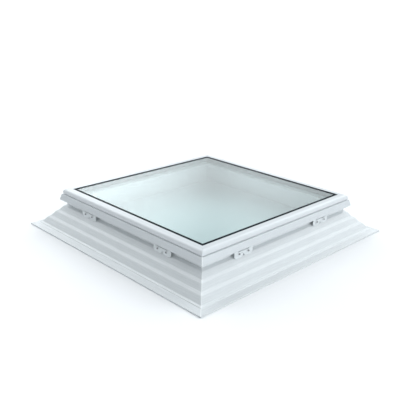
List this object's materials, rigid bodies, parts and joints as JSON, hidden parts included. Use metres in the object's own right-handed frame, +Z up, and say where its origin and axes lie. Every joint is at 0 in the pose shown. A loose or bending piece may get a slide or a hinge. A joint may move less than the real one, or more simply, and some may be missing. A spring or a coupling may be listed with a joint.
{
  "type": "fixed flat-glass rooflight",
  "caption": "Square fixed rooflight: flat sealed glass unit in a white PVC frame, clipped to a flared multi-chamber PVC upstand with a fixing flange.",
  "frame": {"origin": "middle of the light's plan, on the plane of the flange underside that rests on the roof deck", "axes": "+Z up out of the roof, +X and +Y along the sides; the side called front faces -Y"},
  "size_m": [1.362, 1.362, 0.21],
  "materials": {
    "upstand_pvc": "satin, extruded white PVC with moulded steps",
    "frame_pvc": "smooth white PVC, satin gloss",
    "glass": "clear float glass with a faint green tint",
    "spacer": "grey warm-edge spacer",
    "sealant": "black sealant, matte",
    "gasket": "black rubber, satin",
    "foam": "closed-cell tape, matte",
    "blocks": "moulded plastic",
    "seal": "black rubber, matte",
    "clip_plastic": "moulded white plastic",
    "screws": "bright stainless steel"
  },
  "bodies": {
    "root": {"upstand_front": "upstand_pvc", "upstand_right": "upstand_pvc", "upstand_back": "upstand_pvc", "upstand_left": "upstand_pvc", "frame_front": "frame_pvc", "frame_right": "frame_pvc", "frame_back": "frame_pvc", "frame_left": "frame_pvc", "bead_front": "frame_pvc", "bead_right": "frame_pvc", "bead_back": "frame_pvc", "bead_left": "frame_pvc", "outer_pane": "glass", "inner_pane": "glass", "spacer_bar": "spacer", "edge_sealant": "sealant", "glazing_gasket": "gasket", "glazing_tape": "foam", "setting_blocks": "blocks", "frame_seal_inner": "seal", "frame_seal_outer": "seal", "clip_front_left": "clip_plastic", "clip_front_right": "clip_plastic", "clip_right_front": "clip_plastic", "clip_right_back": "clip_plastic", "clip_back_right": "clip_plastic", "clip_back_left": "clip_plastic", "clip_left_back": "clip_plastic", "clip_left_front": "clip_plastic", "clip_screws": "screws"}
  },
  "joints": []
}
